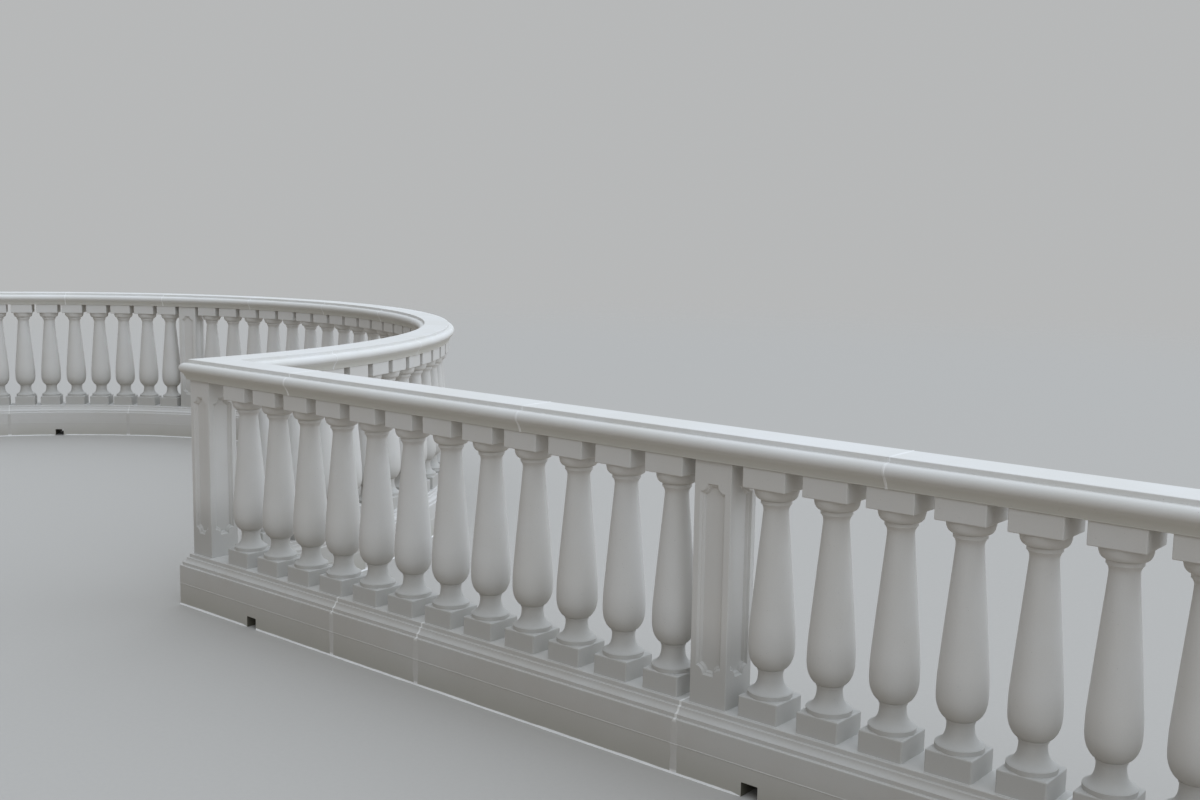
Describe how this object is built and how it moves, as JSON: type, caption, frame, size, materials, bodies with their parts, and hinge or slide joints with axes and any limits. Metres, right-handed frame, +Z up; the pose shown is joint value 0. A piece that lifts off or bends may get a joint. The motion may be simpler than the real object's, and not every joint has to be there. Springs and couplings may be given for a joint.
{
  "type": "stone balustrade",
  "caption": "Terrace balustrade of cast stone: turned balusters between panelled piers on a moulded plinth, a straight run joined by a mitred corner to a half-round run",
  "frame": {"origin": "centre of the corner pier at floor level", "axes": "+X along the straight run, +Y square to it on the side away from the terrace, +Z up"},
  "size_m": [10.732, 2.995, 1.056],
  "materials": {
    "stone": "matte"
  },
  "bodies": {
    "root": {"corner_pier": "stone", "corner_plinth": "stone", "corner_rail": "stone", "curved_balusters_1": "stone", "curved_balusters_2": "stone", "curved_balusters_3": "stone", "curved_pier_1": "stone", "curved_pier_2": "stone", "curved_pier_3": "stone", "curved_plinth_1": "stone", "curved_plinth_2": "stone", "curved_plinth_3": "stone", "curved_plinth_4": "stone", "curved_plinth_5": "stone", "curved_plinth_6": "stone", "curved_plinth_7": "stone", "curved_plinth_8": "stone", "curved_plinth_9": "stone", "curved_rail_1": "stone", "curved_rail_10": "stone", "curved_rail_11": "stone", "curved_rail_2": "stone", "curved_rail_3": "stone", "curved_rail_4": "stone", "curved_rail_5": "stone", "curved_rail_6": "stone", "curved_rail_7": "stone", "curved_rail_8": "stone", "curved_rail_9": "stone", "straight_balusters_1": "stone", "straight_balusters_2": "stone", "straight_pier_1": "stone", "straight_pier_2": "stone", "straight_plinth_1": "stone", "straight_plinth_2": "stone", "straight_plinth_3": "stone", "straight_plinth_4": "stone", "straight_plinth_5": "stone", "straight_rail_1": "stone", "straight_rail_2": "stone", "straight_rail_3": "stone", "straight_rail_4": "stone"}
  },
  "joints": []
}
